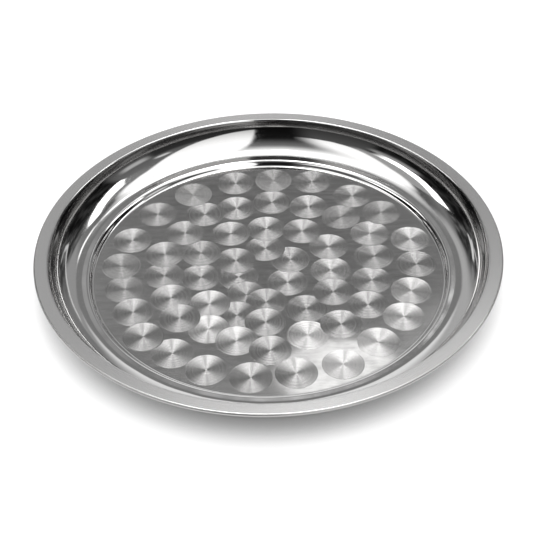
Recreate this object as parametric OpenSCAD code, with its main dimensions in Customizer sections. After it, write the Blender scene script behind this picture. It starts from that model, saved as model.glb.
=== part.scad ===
// Round serving tray: a one-piece drawn sheet pan whose edge is curled over a steel wire.
// The origin is the centre of the underside of the floor, +Z is up, sizes are in millimetres.
// Bend radii are measured at the middle of the sheet.

/* [Overall] */
// Diameter over the curled edge
tray_d = 350; // [280:1:500]
// Height from the underside of the floor to the top of the flange
tray_h = 26.8; // [20:0.2:40]
// Thickness of the sheet
sheet_t = 0.5; // [0.4:0.05:0.8]

/* [Curled edge] */
// Diameter of the wire inside the curl
wire_d = 1.6; // [1.2:0.1:3]
// Gap all round between the wire and the curl
wire_clearance = 0.05; // [0.02:0.01:0.2]
// Angle through which the edge is curled round the wire
curl_sweep = 290; // [200:5:300]

/* [Flange and wall] */
// Width of the flat flange, from the outer edge to its inner corner
flange_w = 9.7; // [6:0.1:20]
// Radius of the corner where the flange turns down into the wall
corner_r = 1; // [0.6:0.1:3]
// Steepness of the hollow wall where it meets the flange
wall_lean = 86; // [65:1:88]

/* [Floor ring] */
// Height of the raised ring between the floor and the foot of the wall
ring_h = 3.7; // [3.1:0.1:6]
// Steepness of the ring's inner side
ring_angle = 60; // [45:1:65]
// Radius of the ring's rounded shoulder
ring_shoulder_r = 3.5; // [1:0.1:4]
// Radius of the hollow corner between the ring and the floor
ring_fillet_r = 2.5; // [0.6:0.1:3.4]
// Width of the flat top between the ring's shoulder and the foot of the wall
ring_land_w = 2.8; // [0.4:0.1:6]

/* [Hidden] */

// Facets of a full turn and of the wire's section
turn_facets = 180;
wire_facets = 48;

// Largest angle between two points along a bend
bend_step = 5;

// Sideways run and height of a bend of radius r between two slopes a and b
function bend_run(r, a, b) = r * abs(sin(b) - sin(a));
function bend_rise(r, a, b) = r * abs(cos(b) - cos(a));

// Curl round the wire
curl_r = wire_d / 2 + wire_clearance + sheet_t / 2;
curl_reach = curl_r + sheet_t / 2;
flange_run = flange_w - curl_reach;

// Ring round the floor
ring_bend_rise = bend_rise(ring_fillet_r, 0, ring_angle) + bend_rise(ring_shoulder_r, ring_angle, 0);
ring_bend_run = bend_run(ring_fillet_r, 0, ring_angle) + bend_run(ring_shoulder_r, ring_angle, 0);
ring_riser = (ring_h - ring_bend_rise) / sin(ring_angle);
ring_run = ring_bend_run + ring_riser * cos(ring_angle) + ring_land_w;

// Wall, one hollow sweep over the height that ring and corner leave
wall_rise = tray_h - sheet_t - ring_h - bend_rise(corner_r, 0, wall_lean);
wall_r = wall_rise / bend_rise(1, 0, wall_lean);
wall_run = bend_run(wall_r, 0, wall_lean) + bend_run(corner_r, 0, wall_lean);

// Flat floor, which takes up the radius that the rest leaves
floor_r = tray_d / 2 - flange_w - wall_run - ring_run;

// The sheet's path from the axis outwards: [length, 0] is a straight run,
// [radius, angle] is a bend that turns up when the angle is positive and down when it is negative
sheet_path = [
    [floor_r, 0],
    [ring_fillet_r, ring_angle],
    [ring_riser, 0],
    [ring_shoulder_r, -ring_angle],
    [ring_land_w, 0],
    [wall_r, wall_lean],
    [corner_r, -wall_lean],
    [flange_run, 0],
    [curl_r, -curl_sweep]
];

// Centre of the wire's section
wire_ring_r = tray_d / 2 - curl_reach;
wire_z = tray_h - curl_reach;

// The path with each bend cut into short bends
function short_steps(path) = [
    for (step = path)
        let (parts = max(1, ceil(abs(step[1]) / bend_step)))
            for (k = [1 : parts])
                [step[0], step[1] / parts]
];

// A pose is [x, y, slope]; this is the pose at the end of a step that starts at another pose
function pose_after(pose, step) =
    let (slope = pose[2], end_slope = slope + step[1], side = sign(step[1]))
        side == 0
        ? pose + step[0] * [cos(slope), sin(slope), 0]
        : [
            pose[0] + side * step[0] * (sin(end_slope) - sin(slope)),
            pose[1] - side * step[0] * (cos(end_slope) - cos(slope)),
            end_slope
        ];

function poses_along(steps, pose, i = 0) =
    i == len(steps)
    ? [pose]
    : concat([pose], poses_along(steps, pose_after(pose, steps[i]), i + 1));

// One face of the sheet, at a distance from its middle line
function sheet_face(poses, distance) =
    [for (pose = poses) [pose[0] - distance * sin(pose[2]), pose[1] + distance * cos(pose[2])]];

function reversed(points) = [for (i = [len(points) - 1 : -1 : 0]) points[i]];

// Section through the sheet from the axis to the end of the curl
module sheet_section() {
    poses = poses_along(short_steps(sheet_path), [0, sheet_t / 2, 0]);
    upper_face = sheet_face(poses, sheet_t / 2);
    lower_face = sheet_face(poses, -sheet_t / 2);
    polygon(concat(upper_face, reversed(lower_face)));
}

// Drawn pan with its curled edge
module tray_pan() {
    color("silver")
        rotate_extrude($fn = turn_facets)
            sheet_section();
}

// Stiffening wire inside the curl
module rim_wire() {
    color("gray")
        rotate_extrude($fn = turn_facets)
            translate([wire_ring_r, wire_z])
                circle(d = wire_d, $fn = wire_facets);
}

tray_pan();
rim_wire();
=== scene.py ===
"""Round serving tray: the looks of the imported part, in metres, in the frame of the CAD model."""
import math

import bpy
from mathutils import Matrix, Vector


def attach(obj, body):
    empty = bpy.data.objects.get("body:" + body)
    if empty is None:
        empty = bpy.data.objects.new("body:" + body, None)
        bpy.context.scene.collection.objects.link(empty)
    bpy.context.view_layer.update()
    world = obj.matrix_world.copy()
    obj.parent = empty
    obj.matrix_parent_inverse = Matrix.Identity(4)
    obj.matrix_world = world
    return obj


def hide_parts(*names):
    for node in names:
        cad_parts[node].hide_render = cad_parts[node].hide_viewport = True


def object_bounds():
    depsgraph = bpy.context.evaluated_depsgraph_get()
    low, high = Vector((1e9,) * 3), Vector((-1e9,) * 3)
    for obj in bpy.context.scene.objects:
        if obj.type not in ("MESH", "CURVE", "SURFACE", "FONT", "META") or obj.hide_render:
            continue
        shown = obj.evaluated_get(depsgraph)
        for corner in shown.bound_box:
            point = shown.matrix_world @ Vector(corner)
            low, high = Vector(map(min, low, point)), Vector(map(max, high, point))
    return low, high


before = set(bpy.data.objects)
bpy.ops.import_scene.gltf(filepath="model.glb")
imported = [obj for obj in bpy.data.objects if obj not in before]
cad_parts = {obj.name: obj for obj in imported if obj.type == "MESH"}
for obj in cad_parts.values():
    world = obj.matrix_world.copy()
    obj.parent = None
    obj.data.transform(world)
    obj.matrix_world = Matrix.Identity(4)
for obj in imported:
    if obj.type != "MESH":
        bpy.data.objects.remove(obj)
cad_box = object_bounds()

MM = 0.001
DEGREES = 180 / math.pi

# Sizes of the part, in millimetres and degrees
TRAY_R = cad_box[1].x / MM
TRAY_H = cad_box[1].z / MM
SHEET_T = 0.5
WIRE_D = 1.6
WIRE_CLEARANCE = 0.05
CURL_SWEEP = 290
FLANGE_W = 9.7
CORNER_R = 1.0
WALL_LEAN = 86
RING_H = 3.7
RING_ANGLE = 60
RING_SHOULDER_R = 3.5
RING_FILLET_R = 2.5
RING_LAND_W = 2.8

# Mesh density of the pan
TURN_STEPS = 256
BEND_STEP = 5
CURL_STEP = 10
LONGEST_RUN = 12

# Material slots of the pan, and the turn of the curl up to which the flange's brushing reaches; past
# it the curl's outer face takes the rougher, darker mill steel, whose darkness there is painted shade
# under the rim
FLOOR_SLOT, WALL_SLOT, FLANGE_SLOT, UNDERSIDE_SLOT = range(4)
SHADED_CURL_TURN = 30

# Middle and size of the two round charts of the baked maps: the upper face, then the underside
UPPER_CHART = (0.40, 0.60, 0.39)
LOWER_CHART = (0.81, 0.19, 0.18)

# Brightness of polished steel, and how far wear changes it
STEEL = 0.70
STEEL_SPREAD = 0.03
# Painted shade high on the wall under the flange: its darker steel, the heights over which the wall
# darkens, and over which it is bright again at the corner
SHADE_PAINTED_STEEL = 0.30
PAINTED_SHADE_RISE = (9, 21)
PAINTED_SHADE_END = (TRAY_H - 0.5, TRAY_H - 1.2)

# Roughness and brightness of the finishes, from one end of their marks' range to the other
POLISH_ROUGHNESS = (0.05, 0.10)
FLANGE_ROUGHNESS = (0.18, 0.24)
FLANGE_TONE = (0.62, 0.69)
SATIN_ROUGHNESS = (0.10, 0.17)
SATIN_TONE = (0.46, 0.54)
SPOT_ROUGHNESS = (0.20, 0.22)
SPOT_TONE = (0.41, 0.49)
MILL_ROUGHNESS = (0.30, 0.44)
MILL_TONE = (0.44, 0.52)

# Parts of a noise's range over which a finish changes
NOISE_NARROW = (0.3, 0.7)
NOISE_UPPER = (0.3, 0.8)
NOISE_WIDE = (0.2, 0.8)

# Slopes of the lines and waves in the polished sheet, and of the flange's brushing
DRAWN_LINE = 0.012
SHEET_WAVE = 0.02
FLANGE_BRUSHING = 0.03

# Turned spots on the floor: radius, width of the soft edge, and a middle for points in no spot
SPOT_R = 15.4
SPOT_EDGE = 0.6
FAR_OFF = (5000.0, 0.0, 0.0)
# Shifts the rings of each spot against those of the others
SPOT_SEED = (0.731, 1.373, 0.0)
# Slopes of the marks in a spot: waves and grooves along its radius, dishing per millimetre, and
# the lean of the pad
RING_WAVE = 0.009
RING_GROOVE = 0.009
SPOT_DISH = -0.003
SPOT_LEAN = 0.04
# Ring radius, how far the ring's middle lies behind the tray's, and each spot's angle from +X
SPOT_RINGS = (
    (18, -4, (322,)),
    (23, -4, (42, 189)),
    (29.5, -4, (94, 148, 235)),
    (33, -4, (266,)),
    (47.5, -1.5, (359,)),
    (51.5, -1.5, (91, 186, 302)),
    (54.5, -1.5, (30, 60, 122, 244, 332)),
    (57, -1.5, (156, 219, 267)),
    (79.5, 1.5, (108, 145, 184, 203, 236, 290, 348)),
    (82.5, 1.5, (8, 66, 87, 166, 253, 309)),
    (85, 1.5, (46, 126, 219, 329)),
    (89.5, 1.5, (26, 270)),
    (110, 0.5, (190, 204, 345)),
    (113.3, 0.5, (1, 36, 52, 87, 103, 122, 141, 160, 176, 232, 279, 313, 330)),
    (116, 0.5, (16, 71, 218, 247, 263, 296)),
)

# Brushed waves between the spots: slope, direction of the tilt, and how the streaks are drawn out
SATIN_WAVE = 0.006
SATIN_TILT = (0.3, 1.0, 0.0)
STREAK_STRETCH = (0.04, 0.22, 1.0)
# Where the thin floor sags towards its front edge: middle, stretch along Y, reach and slope
SAG_MIDDLE = (48, -108)
SAG_STRETCH = 1.3
SAG_REACH = 62
SAG_SLOPE = 0.06

ACROSS = (1.0, 0.0, 0.0)
FORWARD = (0.0, -1.0, 0.0)
HALF = (0.5, 0.5, 0.5)

# White table: half its width in metres, its tone, and its glow in the shadow and in the open
TABLE_HALF = 6.0
TABLE_TONE = 0.55
TABLE_GLOW = (0.05, 0.7)
SHADOW_REACH = 0.03
OPEN_SKY = (0.15, 0.85)

# Strengths of the lights in the room that the steel shows
CLUTTER_NOISE = (0.4, 0.75)
CLUTTER_GAIN = (0.4, 4.0)
DIM_ROOM = (0.015, 0.07)
FRONT_RIGHT_WALL = 0.19
FRONT_RIGHT_TABLE = 0.06
FRONT_LEFT_WALL = 0.12
BACK_HAZE = (0.10, 0.24)
RIGHT_HAZE = 0.27
LEFT_HAZE = 0.45
GREY_WALL = (0.52, 0.24)
LEFT_GLOW = 0.6
SOFT_BOX = 3.5
CEILING = 1.5
CEILING_CORNER = 0.7
LAMP = 7.5
LAMP_FLAP = 2.1
CAMERA_GAP = (0.01, 0.25)
WHITE = 1.0

# Panels of the room: strength, left and right azimuth, low and high edge, softness and slant
BACK_PANELS = (
    (0.38, 9, 34, 22, 41, 3),
    (1.7, 11, 16, 41.5, 47, 1),
)
PAPER_EDGES = (
    (1.0, -49, -36, 16.5, 19, 1),
    (0.9, -47, -36, 12.5, 15.5, 1, 0.2),
    (0.7, -43, -34, 11.5, 14, 1, -0.9),
    (0.9, 14, 48, 24.5, 26.3, 0.9, -0.14),
    (0.8, 45.5, 48.5, 14, 20, 0.9),
    (0.6, 40.5, 48, 8.5, 10.5, 1.2, 0.8),
)
FRONT_LIGHTS = (
    (0.85, 101, 116, 9, 21, 4),
    (1.0, 118, 126, 27, 33, 2),
)

# Camera: its distance is in tray radii, the sensor in millimetres, the clipping in metres
IMAGE_PX = 533
SENSOR_W = 36.0
CAMERA_CLIP = (0.01, 50.0)
CAMERA_DISTANCE = 5.5
CAMERA_ELEVATION = 39.5
CAMERA_FOCAL_PX = 1282.6
CAMERA_ROLL = -1.42
# Where the middle of the flange's top stands in the picture
TARGET_PX = (267.8, 243.0)

# First input, second input and output of the mix node for each type of data
MIX_SOCKETS = {"FLOAT": (2, 3, 0), "VECTOR": (4, 5, 1), "RGBA": (6, 7, 2)}
# Vector operations that give a number, at the node's second output
NUMBER_OPERATIONS = ("DISTANCE", "LENGTH", "DOT_PRODUCT")


class Graph:
    """A shader tree with short calls for the nodes that the materials are made of."""

    def __init__(self, tree):
        self.tree = tree

    def put(self, socket, value):
        if isinstance(value, bpy.types.NodeSocket):
            self.tree.links.new(value, socket)
        else:
            socket.default_value = value

    def add(self, kind, inputs=None, out=0, **settings):
        node = self.tree.nodes.new(kind)
        for name, value in settings.items():
            setattr(node, name, value)
        for name, value in (inputs or {}).items():
            self.put(node.inputs[name], value)
        return node.outputs[out] if node.outputs else node

    def math(self, operation, a, b=0.0, c=0.0):
        return self.add("ShaderNodeMath", {0: a, 1: b, 2: c}, operation=operation)

    def vector(self, operation, a, b=(0.0, 0.0, 0.0)):
        out = 1 if operation in NUMBER_OPERATIONS else 0
        return self.add("ShaderNodeVectorMath", {0: a, 1: b}, out=out, operation=operation)

    def scaled(self, vector, factor):
        return self.add("ShaderNodeVectorMath", {0: vector, "Scale": factor}, operation="SCALE")

    def fade(self, value, start, end, low=0.0, high=1.0):
        """Goes smoothly from low at start to high at end; start may lie above end."""
        if start > end:
            start, end, low, high = end, start, high, low
        return self.add(
            "ShaderNodeMapRange",
            {"Value": value, "From Min": start, "From Max": end, "To Min": low, "To Max": high},
            interpolation_type="SMOOTHSTEP",
        )

    def mix(self, factor, a, b, data_type="FLOAT"):
        first, second, out = MIX_SOCKETS[data_type]
        inputs = {0: factor, first: a, second: b}
        return self.add("ShaderNodeMix", inputs, out=out, data_type=data_type)

    def tones(self, factor, dark, bright):
        return self.mix(factor, grey(dark), grey(bright), "RGBA")

    def noise_along(self, w, scale, detail=2.0, roughness=0.5):
        return self.add(
            "ShaderNodeTexNoise",
            {"W": w, "Scale": scale, "Detail": detail, "Roughness": roughness},
            noise_dimensions="1D",
        )

    def noise(self, vector, scale, detail=2.0, roughness=0.5):
        return self.add(
            "ShaderNodeTexNoise",
            {"Vector": vector, "Scale": scale, "Detail": detail, "Roughness": roughness},
        )

    def signed(self, value, amount):
        """Turns a 0 to 1 value into one from -amount to amount."""
        return self.math("MULTIPLY_ADD", value, 2 * amount, -amount)


def grey(value, warm=0.004):
    return (value + warm, value, value - warm, 1.0)


def empty_graph(owner):
    """The tree of a material or world, without the nodes that it starts with."""
    owner.use_nodes = True
    owner.node_tree.nodes.clear()
    return Graph(owner.node_tree)


def steel(name, roughness, anisotropy=0.0):
    """A metal with plain values; the finishes link their marks over the colour and roughness."""
    material = bpy.data.materials.new(name)
    material.use_nodes = True
    shader = material.node_tree.nodes["Principled BSDF"]
    shader.inputs["Metallic"].default_value = 1.0
    shader.inputs["Base Color"].default_value = grey(STEEL)
    shader.inputs["Roughness"].default_value = roughness
    shader.inputs["Anisotropic"].default_value = anisotropy
    return material, Graph(material.node_tree), shader


def object_mm(graph):
    """The point on the object, in millimetres."""
    point = graph.add("ShaderNodeTexCoord", out="Object")
    return graph.scaled(point, 1 / MM)


def flat(graph, point):
    """The point seen from above: its height is dropped."""
    return graph.vector("MULTIPLY", point, (1.0, 1.0, 0.0))


def tilted_normal(graph, push):
    """The surface's normal, tilted by a vector of slopes."""
    normal = graph.add("ShaderNodeNewGeometry", out="Normal")
    return graph.vector("NORMALIZE", graph.vector("ADD", normal, push))


def polished_steel():
    """Mirror finish of ring and wall, with the faint waviness of drawn sheet and painted shade high
    on the wall under the flange.
    """
    material, graph, shader = steel("polished_steel", roughness=0.07)
    point = object_mm(graph)
    plan = flat(graph, point)
    outward = graph.vector("NORMALIZE", plan)
    radius = graph.vector("LENGTH", plan)
    height = graph.add("ShaderNodeSeparateXYZ", {0: point}, out="Z")

    along = graph.math("ADD", radius, height)
    lines = graph.noise_along(along, scale=2.2, detail=3.0, roughness=0.6)
    waves = graph.noise(point, scale=0.05, detail=1.0)
    slope = graph.math("ADD", graph.signed(lines, DRAWN_LINE), graph.signed(waves, SHEET_WAVE))
    graph.put(shader.inputs["Normal"], tilted_normal(graph, graph.scaled(outward, slope)))

    wear = graph.noise(point, scale=0.35, detail=4.0, roughness=0.65)
    roughness = graph.fade(wear, *NOISE_UPPER, *POLISH_ROUGHNESS)
    graph.put(shader.inputs["Roughness"], roughness)

    bright = graph.tones(wear, STEEL - STEEL_SPREAD, STEEL + STEEL_SPREAD)
    # Painted shade: darker steel high on the wall under the flange, bright again at the corner
    rise = graph.fade(height, *PAINTED_SHADE_RISE)
    painted_shade = graph.math("MULTIPLY", rise, graph.fade(height, *PAINTED_SHADE_END))
    colour = graph.mix(painted_shade, bright, grey(SHADE_PAINTED_STEEL), "RGBA")
    graph.put(shader.inputs["Base Color"], colour)
    return material


def brushed_flange():
    """Satin finish of the flange, brushed round the tray."""
    material, graph, shader = steel("brushed_flange", roughness=0.21, anisotropy=0.3)
    plan = flat(graph, object_mm(graph))
    outward = graph.vector("NORMALIZE", plan)
    radius = graph.vector("LENGTH", plan)
    brushing = graph.noise_along(radius, scale=3.0, detail=4.0, roughness=0.7)
    push = graph.scaled(outward, graph.signed(brushing, FLANGE_BRUSHING))
    graph.put(shader.inputs["Normal"], tilted_normal(graph, push))
    graph.put(shader.inputs["Tangent"], outward)
    roughness = graph.fade(brushing, *NOISE_WIDE, *FLANGE_ROUGHNESS)
    graph.put(shader.inputs["Roughness"], roughness)
    graph.put(shader.inputs["Base Color"], graph.tones(brushing, *FLANGE_TONE))
    return material


def spot_centres():
    for radius, behind, angles in SPOT_RINGS:
        for angle in angles:
            turn = math.radians(angle)
            yield radius * math.cos(turn), radius * math.sin(turn) + behind, 0.0


def turned_floor():
    """Engine-turned floor: round swirled spots laid in rings, each one over those before it."""
    material, graph, shader = steel("turned_floor", roughness=0.21, anisotropy=1.0)
    plan = flat(graph, object_mm(graph))
    centre = FAR_OFF
    for spot in spot_centres():
        inside = graph.math("LESS_THAN", graph.vector("DISTANCE", plan, spot), SPOT_R)
        centre = graph.mix(inside, centre, spot, "VECTOR")
    arm = graph.vector("SUBTRACT", plan, centre)
    reach = graph.vector("LENGTH", arm)
    radial = graph.vector("NORMALIZE", arm)
    in_spot = graph.fade(reach, SPOT_R, SPOT_R - SPOT_EDGE)

    # The rings that the turning pad leaves, different on each spot
    seed = graph.vector("DOT_PRODUCT", centre, SPOT_SEED)
    track = graph.math("ADD", reach, seed)
    coarse = graph.noise_along(track, scale=0.45, detail=1.0)
    fine = graph.noise_along(track, scale=1.0, detail=2.0, roughness=0.6)
    rings = graph.math("ADD", graph.signed(coarse, RING_WAVE), graph.signed(fine, RING_GROOVE))

    # The pad dishes each spot a little and never stands quite upright
    dished = graph.math("MULTIPLY_ADD", reach, SPOT_DISH, rings)
    chance = graph.add("ShaderNodeTexWhiteNoise", {"Vector": centre}, out="Color")
    aslant = flat(graph, graph.vector("SUBTRACT", chance, HALF))
    lean = graph.scaled(aslant, 2 * SPOT_LEAN)
    spot_push = graph.vector("ADD", graph.scaled(radial, dished), lean)

    # Between the spots: a cloudy satin, brushed across
    drawn_out = graph.vector("MULTIPLY", plan, STREAK_STRETCH)
    streaks = graph.noise(drawn_out, scale=1.0, detail=4.0, roughness=0.6)
    clouds = graph.noise(plan, scale=0.05, detail=3.0, roughness=0.6)
    satin_push = graph.scaled(SATIN_TILT, graph.signed(streaks, SATIN_WAVE))
    push = graph.mix(in_spot, satin_push, spot_push, "VECTOR")

    # The sag towards the front edge
    stretched = graph.vector("MULTIPLY", plan, (1.0, SAG_STRETCH, 0.0))
    sag_middle = (SAG_MIDDLE[0], SAG_MIDDLE[1] * SAG_STRETCH, 0.0)
    sag_away = graph.vector("DISTANCE", stretched, sag_middle)
    sag = graph.fade(sag_away, SAG_REACH, SAG_REACH / 3, 0.0, SAG_SLOPE)
    push = graph.vector("ADD", push, graph.scaled(FORWARD, sag))

    graph.put(shader.inputs["Normal"], tilted_normal(graph, push))
    grain = graph.vector("NORMALIZE", graph.mix(in_spot, ACROSS, radial, "VECTOR"))
    graph.put(shader.inputs["Tangent"], grain)
    satin_roughness = graph.fade(clouds, *NOISE_NARROW, *SATIN_ROUGHNESS)
    spot_roughness = graph.fade(fine, *NOISE_WIDE, *SPOT_ROUGHNESS)
    graph.put(shader.inputs["Roughness"], graph.mix(in_spot, satin_roughness, spot_roughness))
    satin_tone = graph.tones(graph.fade(streaks, *NOISE_NARROW), *SATIN_TONE)
    spot_tone = graph.tones(graph.fade(fine, *NOISE_NARROW), *SPOT_TONE)
    graph.put(shader.inputs["Base Color"], graph.mix(in_spot, satin_tone, spot_tone, "RGBA"))
    return material


def mill_steel(name):
    """Dull rolled finish of the underside and the wire, with small random marks."""
    material, graph, shader = steel(name, roughness=0.38)
    point = object_mm(graph)
    grain = graph.noise(point, scale=0.8, detail=5.0, roughness=0.7)
    cloud = graph.noise(point, scale=0.03, detail=3.0, roughness=0.6)
    roughness = graph.fade(cloud, *NOISE_NARROW, *MILL_ROUGHNESS)
    graph.put(shader.inputs["Roughness"], roughness)
    graph.put(shader.inputs["Base Color"], graph.tones(cloud, *MILL_TONE))
    marks = {"Strength": 0.15, "Distance": 0.0002, "Height": grain}
    graph.put(shader.inputs["Normal"], graph.add("ShaderNodeBump", marks))
    return material


def sin_deg(angle):
    return math.sin(math.radians(angle))


def cos_deg(angle):
    return math.cos(math.radians(angle))


def bend_run(radius, a, b):
    return radius * abs(sin_deg(b) - sin_deg(a))


def bend_rise(radius, a, b):
    return radius * abs(cos_deg(b) - cos_deg(a))


def sheet_path():
    """The sheet's middle line from the axis outwards: (part, length, 0) or (part, radius, angle)."""
    curl_r = WIRE_D / 2 + WIRE_CLEARANCE + SHEET_T / 2
    flange_run = FLANGE_W - curl_r - SHEET_T / 2

    fillet = (RING_FILLET_R, 0, RING_ANGLE)
    shoulder = (RING_SHOULDER_R, RING_ANGLE, 0)
    ring_riser = (RING_H - (bend_rise(*fillet) + bend_rise(*shoulder))) / sin_deg(RING_ANGLE)
    ring_run = bend_run(*fillet) + bend_run(*shoulder)
    ring_run += ring_riser * cos_deg(RING_ANGLE) + RING_LAND_W

    wall_rise = TRAY_H - SHEET_T - RING_H - bend_rise(CORNER_R, 0, WALL_LEAN)
    wall_r = wall_rise / bend_rise(1, 0, WALL_LEAN)
    wall_run = bend_run(wall_r, 0, WALL_LEAN) + bend_run(CORNER_R, 0, WALL_LEAN)

    floor_r = TRAY_R - FLANGE_W - wall_run - ring_run
    return (
        ("floor", floor_r, 0),
        ("wall", RING_FILLET_R, RING_ANGLE),
        ("wall", ring_riser, 0),
        ("wall", RING_SHOULDER_R, -RING_ANGLE),
        ("wall", RING_LAND_W, 0),
        ("wall", wall_r, WALL_LEAN),
        ("wall", CORNER_R, -WALL_LEAN),
        ("flange", flange_run, 0),
        ("curl", curl_r, -CURL_SWEEP),
    )


def sheet_poses():
    """Points along the middle line: (part of the run that ends there, r, z, slope, length so far)."""
    r, z, slope, length = 0.0, SHEET_T / 2, 0.0, 0.0
    poses = [("floor", r, z, slope, length)]
    for part, size, angle in sheet_path():
        if angle == 0:
            count = max(1, math.ceil(size / LONGEST_RUN))
            for _ in range(count):
                r += size / count * cos_deg(slope)
                z += size / count * sin_deg(slope)
                length += size / count
                poses.append((part, r, z, slope, length))
            continue
        step = CURL_STEP if part == "curl" else BEND_STEP
        count = math.ceil(abs(angle) / step)
        side = math.copysign(1, angle)
        for _ in range(count):
            turned = slope + angle / count
            r += side * size * (sin_deg(turned) - sin_deg(slope))
            z -= side * size * (cos_deg(turned) - cos_deg(slope))
            length += size * math.radians(abs(angle)) / count
            slope = turned
            poses.append((part, r, z, slope, length))
    return poses


def build_pan():
    """One closed sheet: the upper face, the underside and the narrow face at the curl's end."""
    poses = sheet_poses()
    _, _, _, end_slope, full_length = poses[-1]
    turns = [2 * math.pi * k / TURN_STEPS for k in range(TURN_STEPS)]
    verts, normals, charts = [], [], []
    faces, slots = [], []

    def add_row(pose, side, chart):
        """Points all round the tray on the upper (1) or lower (-1) face at a pose."""
        _, middle_r, middle_z, slope, length = pose
        lean, level = side * sin_deg(slope), side * cos_deg(slope)
        r = middle_r - SHEET_T / 2 * lean
        z = middle_z + SHEET_T / 2 * level
        chart_x, chart_y, chart_r = chart
        reach = chart_r * length / full_length
        first = len(verts)
        for turn in turns if length > 0 else turns[:1]:
            c, s = math.cos(turn), math.sin(turn)
            verts.append((r * c * MM, r * s * MM, z * MM))
            normals.append((-lean * c, -lean * s, level))
            charts.append((chart_x + reach * c, chart_y + side * reach * s))
        return range(first, len(verts))

    def bridge(inner, outer, slot, flip=False):
        for k in range(TURN_STEPS):
            n = (k + 1) % TURN_STEPS
            if len(inner) == 1:
                face = (inner[0], outer[k], outer[n])
            else:
                face = (inner[k], outer[k], outer[n], inner[n])
            faces.append(face[::-1] if flip else face)
            slots.append(slot)

    rows = [(add_row(pose, 1, UPPER_CHART), add_row(pose, -1, LOWER_CHART)) for pose in poses]
    upper_slots = {
        "floor": FLOOR_SLOT,
        "wall": WALL_SLOT,
        "flange": FLANGE_SLOT,
        "curl": FLANGE_SLOT,
    }
    for pose, inner, outer in zip(poses[1:], rows, rows[1:]):
        part, _, _, slope, _ = pose
        # Past that turn the curl's outer face takes the darker mill steel: painted shade along the
        # rim's lower edge
        upper_slot = UNDERSIDE_SLOT if slope < -SHADED_CURL_TURN else upper_slots[part]
        bridge(inner[0], outer[0], upper_slot)
        bridge(inner[1], outer[1], UNDERSIDE_SLOT, flip=True)
    cap_start = len(faces)
    bridge(*rows[-1], WALL_SLOT)

    mesh = bpy.data.meshes.new("pan_sheet")
    mesh.from_pydata(verts, [], faces)
    for material in (turned_floor(), polished_steel(), brushed_flange(), mill_steel("mill_steel")):
        mesh.materials.append(material)
    uv = mesh.uv_layers.new(name="OFBake")
    loop_normals = []
    for polygon in mesh.polygons:
        polygon.use_smooth = True
        polygon.material_index = slots[polygon.index]
        for loop in polygon.loop_indices:
            vertex = mesh.loops[loop].vertex_index
            uv.data[loop].uv = charts[vertex]
            if polygon.index >= cap_start:
                x, y, _ = verts[vertex]
                out = Vector((x, y, 0)).normalized() * cos_deg(end_slope)
                loop_normals.append((out.x, out.y, sin_deg(end_slope)))
            else:
                loop_normals.append(normals[vertex])
    mesh.normals_split_custom_set(loop_normals)
    pan = bpy.data.objects.new("pan_sheet", mesh)
    bpy.context.scene.collection.objects.link(pan)
    return pan


def build_floor():
    """White table that keeps the tray's shadow."""
    h = TABLE_HALF
    mesh = bpy.data.meshes.new("studio_floor")
    mesh.from_pydata([(-h, -h, 0), (h, -h, 0), (h, h, 0), (-h, h, 0)], [], [(0, 1, 2, 3)])
    table = bpy.data.objects.new("studio_floor", mesh)
    bpy.context.scene.collection.objects.link(table)

    material = bpy.data.materials.new("studio_white")
    graph = empty_graph(material)
    paper = graph.add("ShaderNodeBsdfDiffuse", {"Color": grey(TABLE_TONE, 0.0)})
    by_camera = graph.add("ShaderNodeLightPath", out="Is Camera Ray")
    by_mirror = graph.add("ShaderNodeLightPath", out="Is Glossy Ray")
    seen = graph.math("MAXIMUM", by_camera, by_mirror)
    open_sky = graph.add("ShaderNodeAmbientOcclusion", {"Distance": SHADOW_REACH}, out="AO")
    lift = graph.math("MULTIPLY", seen, graph.fade(open_sky, *OPEN_SKY, *TABLE_GLOW))
    glow = graph.add("ShaderNodeEmission", {"Color": (1, 1, 1, 1), "Strength": lift})
    both = graph.add("ShaderNodeAddShader", {0: paper, 1: glow})
    graph.add("ShaderNodeOutputMaterial", {"Surface": both})
    mesh.materials.append(material)
    return table


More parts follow.
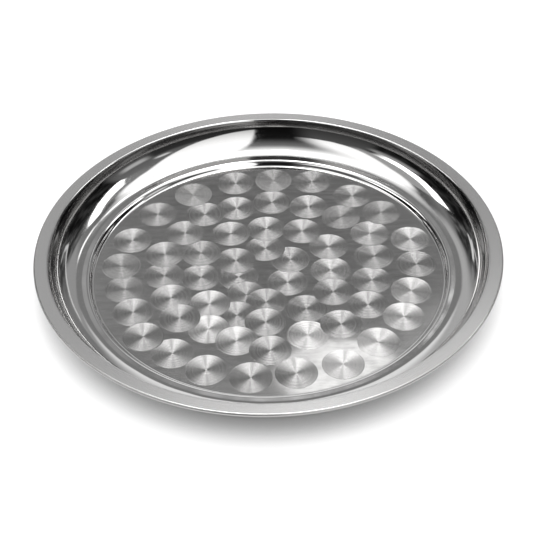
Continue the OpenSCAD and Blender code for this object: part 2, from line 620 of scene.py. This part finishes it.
class Room:
    """The light of the room by direction, laid on layer by layer.

    Angles are in degrees. Azimuth 0 is straight to the back, positive azimuths lie to the right.
    """

    def __init__(self, graph):
        self.graph = graph
        self.way = graph.add("ShaderNodeTexCoord", out="Generated")
        split = graph.tree.nodes.new("ShaderNodeSeparateXYZ")
        graph.put(split.inputs[0], self.way)
        self.x, self.y, self.z = split.outputs
        self.azimuth = self.angle(self.x, self.y)
        self.height = graph.math("MULTIPLY", graph.math("ARCSINE", self.z), DEGREES)
        self.aside = graph.math("ABSOLUTE", self.azimuth)
        self.light = 0.0

    def angle(self, a, b):
        return self.graph.math("MULTIPLY", self.graph.math("ARCTAN2", a, b), DEGREES)

    def slanted(self, start, value, slant):
        """A level that is value at the azimuth start and changes by slant for each degree."""
        return self.graph.math("MULTIPLY_ADD", self.azimuth, slant, value - start * slant)

    def over(self, value, limit, soft):
        beyond = self.graph.math("SUBTRACT", value, limit)
        return self.graph.fade(self.graph.math("DIVIDE", beyond, soft), -1, 1)

    def under(self, value, limit, soft):
        beyond = self.graph.math("SUBTRACT", value, limit)
        return self.graph.fade(self.graph.math("DIVIDE", beyond, soft), 1, -1)

    def right_of(self, limit, soft):
        return self.over(self.azimuth, limit, soft)

    def left_of(self, limit, soft):
        return self.under(self.azimuth, limit, soft)

    def above(self, limit, soft):
        return self.over(self.height, limit, soft)

    def below(self, limit, soft):
        return self.under(self.height, limit, soft)

    def near_back(self, limit, soft):
        return self.under(self.aside, limit, soft)

    def times(self, *masks):
        product = masks[0]
        for mask in masks[1:]:
            product = self.graph.math("MULTIPLY", product, mask)
        return product

    def panel(self, left, right, low, high, soft, slant=0.0):
        """A soft-edged panel between two azimuths and two heights; its heights may slant."""
        level = self.graph.math("SUBTRACT", self.height, self.slanted(left, 0.0, slant))
        return self.times(
            self.right_of(left, soft),
            self.left_of(right, soft),
            self.over(level, low, soft),
            self.under(level, high, soft),
        )

    def lay(self, light, *masks):
        """Puts a light in place of what is there, where all the masks let it."""
        self.light = self.graph.mix(self.times(*masks), self.light, light)

    def lay_panels(self, panels):
        for light, *edges in panels:
            self.lay(light, self.panel(*edges))

    def lay_dim_room(self):
        """Grey behind the table and towards the front, black at the sides."""
        noise = self.graph.noise(self.way, scale=7.0, detail=4.0, roughness=0.65)
        clutter = self.graph.fade(noise, *CLUTTER_NOISE, *CLUTTER_GAIN)
        dim = self.graph.fade(self.aside, 58, 48, *DIM_ROOM)
        self.light = self.graph.math("MULTIPLY", clutter, dim)
        self.lay(FRONT_RIGHT_WALL, self.right_of(92, soft=3))
        self.lay(FRONT_RIGHT_TABLE, self.right_of(118, soft=4), self.below(22, soft=4))
        self.lay(FRONT_LEFT_WALL, self.left_of(-122, soft=4))

    def lay_haze(self):
        """Haze under the ceiling, at the back, the right and the left."""
        back = self.graph.fade(self.height, 56, 42, *BACK_HAZE)
        self.lay(back, self.above(40, soft=5), self.near_back(57, soft=1.5))
        right_edges = self.right_of(45, soft=10), self.left_of(100, soft=10)
        self.lay(RIGHT_HAZE, self.above(40, soft=3), *right_edges)
        left_edges = self.left_of(-57, soft=1), self.right_of(-128, soft=6)
        self.lay(LEFT_HAZE, self.above(36, soft=4), *left_edges)

    def lay_back(self):
        """Grey wall behind the table, a narrow pale backdrop, and the edges of the table's paper."""
        wall = self.graph.fade(self.azimuth, -14, -7, *GREY_WALL)
        self.lay(wall, self.near_back(28, soft=8), self.below(48, soft=4))
        off_middle = self.graph.math("ABSOLUTE", self.graph.math("ADD", self.azimuth, 1))
        self.lay(WHITE, self.graph.fade(off_middle, 13, 2), self.below(34, soft=2))
        self.lay_panels(BACK_PANELS)
        self.lay_panels(PAPER_EDGES)

    def lay_soft_boxes(self):
        """Soft boxes at the left and right, and smaller lights."""
        left_glow = self.panel(-122, -92, 16, 28, soft=4)
        self.lay(LEFT_GLOW, left_glow, self.graph.fade(self.height, 14, 28))
        left_box = self.panel(-118, -57.5, 28, 38, soft=1.2, slant=0.1)
        self.lay(SOFT_BOX, left_box, self.graph.fade(self.azimuth, -120, -102))
        right_top = self.graph.fade(self.azimuth, 74, 96, 49.5, 37.5)
        self.lay(
            SOFT_BOX,
            self.right_of(35, soft=4),
            self.left_of(91, soft=2),
            self.above(self.slanted(45, 43, -0.21), soft=1.2),
            self.below(right_top, soft=1.2),
        )
        self.lay_panels(FRONT_LIGHTS)

    def lay_ceiling(self):
        """Ceiling, which comes further down at the front, and its darker corner at the left."""
        edge = self.graph.fade(self.aside, 0, 34, 49, 55.5)
        front_right_drop = self.graph.fade(self.azimuth, 85, 185, 0, 46)
        front_left_drop = self.graph.fade(self.azimuth, -80, -145, 0, 16)
        edge = self.graph.math("SUBTRACT", edge, front_right_drop)
        edge = self.graph.math("SUBTRACT", edge, front_left_drop)
        self.lay(CEILING, self.above(edge, self.graph.fade(self.aside, 0, 40, 6.5, 1.8)))
        corner_edge = self.slanted(-147, 60, 0.67)
        self.lay(CEILING_CORNER, self.left_of(-112, soft=12), self.above(corner_edge, soft=4))

    def lay_lamp(self):
        """Bright lamp in two halves in the ceiling behind the tray, with a flap that hangs down."""
        slit = self.over(self.graph.math("ABSOLUTE", self.x), 0.03, soft=0.02)
        self.lay(LAMP, self.near_back(22, soft=2), self.above(58, soft=3), slit)
        self.lay(LAMP_FLAP, self.panel(1.5, 13, 48, 60, soft=0.8))

    def lay_camera_gap(self):
        """Dark gap where the camera stands; it reaches up over the tray."""
        pitch = self.angle(self.z, self.graph.math("MULTIPLY", self.y, -1))
        lower = self.graph.fade(pitch, 44, 90, *CAMERA_GAP)
        upper = self.graph.fade(pitch, 76, 112, 0, CEILING)
        self.lay(
            self.graph.math("ADD", lower, upper),
            self.under(self.x, 0.09, soft=0.012),
            self.graph.fade(self.x, -0.42, -0.2),
            self.under(pitch, 105, soft=8),
        )


def build_world():
    """The room that the polished steel shows; the camera itself sees plain white."""
    world = bpy.data.worlds.new("studio_room")
    bpy.context.scene.world = world
    graph = empty_graph(world)
    room = Room(graph)
    room.lay_dim_room()
    room.lay_haze()
    room.lay_back()
    room.lay_soft_boxes()
    room.lay_ceiling()
    room.lay_lamp()
    room.lay_camera_gap()
    seen = graph.add("ShaderNodeLightPath", out="Is Camera Ray")
    strength = graph.mix(seen, room.light, WHITE)
    shader = graph.add("ShaderNodeBackground", {"Color": (1, 1, 1, 1), "Strength": strength})
    graph.add("ShaderNodeOutputWorld", {"Surface": shader})


def build_camera():
    """Camera that sees the tray as the photograph does."""
    data = bpy.data.cameras.new("camera")
    data.sensor_width = SENSOR_W
    data.lens = CAMERA_FOCAL_PX * SENSOR_W / IMAGE_PX
    data.clip_start, data.clip_end = CAMERA_CLIP
    camera = bpy.data.objects.new("camera", data)
    bpy.context.scene.collection.objects.link(camera)
    bpy.context.scene.camera = camera

    right = Vector((1, 0, 0))
    up = Vector((0, sin_deg(CAMERA_ELEVATION), cos_deg(CAMERA_ELEVATION)))
    back = Vector((0, -cos_deg(CAMERA_ELEVATION), sin_deg(CAMERA_ELEVATION)))
    turn = Matrix((right, up, back)).transposed()
    roll = Matrix.Rotation(math.radians(CAMERA_ROLL), 3, "Z")
    target_right = TARGET_PX[0] - IMAGE_PX / 2
    target_up = IMAGE_PX / 2 - TARGET_PX[1]
    pitch = Matrix.Rotation(-math.atan(target_up / CAMERA_FOCAL_PX), 3, "X")
    yaw = Matrix.Rotation(math.atan(target_right / CAMERA_FOCAL_PX), 3, "Y")
    place = Vector((0, 0, TRAY_H * MM)) + back * CAMERA_DISTANCE * TRAY_R * MM
    camera.matrix_world = Matrix.Translation(place) @ (turn @ roll @ pitch @ yaw).to_4x4()


pan = build_pan()
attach(pan, "root")
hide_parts("tray_pan")

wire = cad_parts["rim_wire"]
wire_material = mill_steel("wire_steel")
for material_slot in wire.material_slots:
    material_slot.material = wire_material

build_floor()
build_world()
build_camera()
bpy.context.scene.view_settings.view_transform = "Standard"
